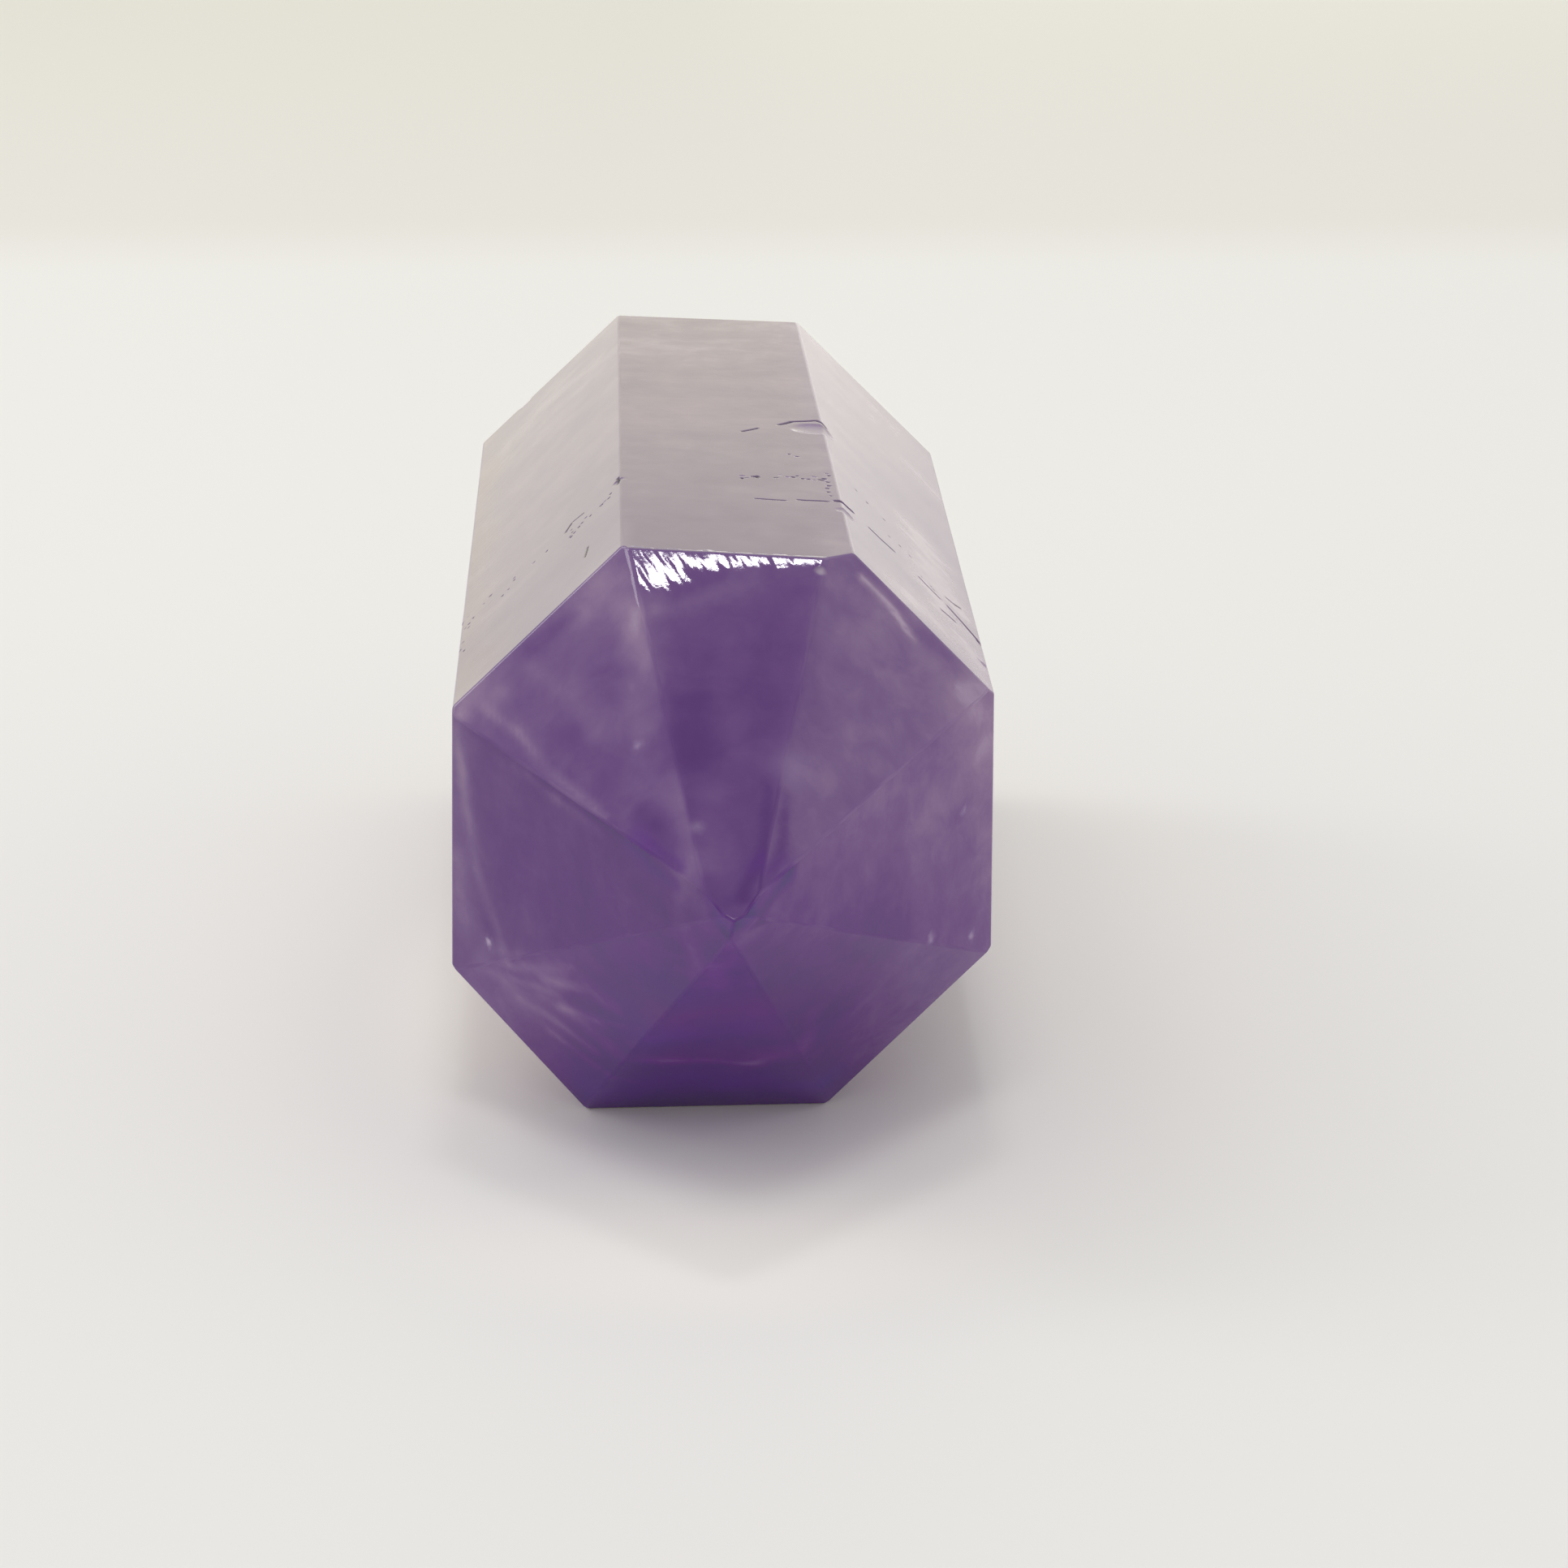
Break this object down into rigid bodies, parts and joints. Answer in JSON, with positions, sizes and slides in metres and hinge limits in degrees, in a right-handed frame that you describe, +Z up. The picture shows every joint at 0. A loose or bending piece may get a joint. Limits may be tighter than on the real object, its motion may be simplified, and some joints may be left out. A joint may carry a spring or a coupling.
{
  "type": "crystal massage point",
  "caption": "Solid eight-sided polished amethyst point with a low faceted tip and a flat base, for massage of the face and body.",
  "frame": {"origin": "centre of the footprint's box, on the resting flat (z = 0)", "axes": "+Y along the stone from the tip to the flat base, +Z up out of the resting flat, +X to the right seen from the tip"},
  "size_m": [0.0247, 0.0736, 0.0265],
  "materials": {
    "amethyst": "polished"
  },
  "bodies": {
    "root": {"amethyst_point": "amethyst"}
  },
  "joints": []
}
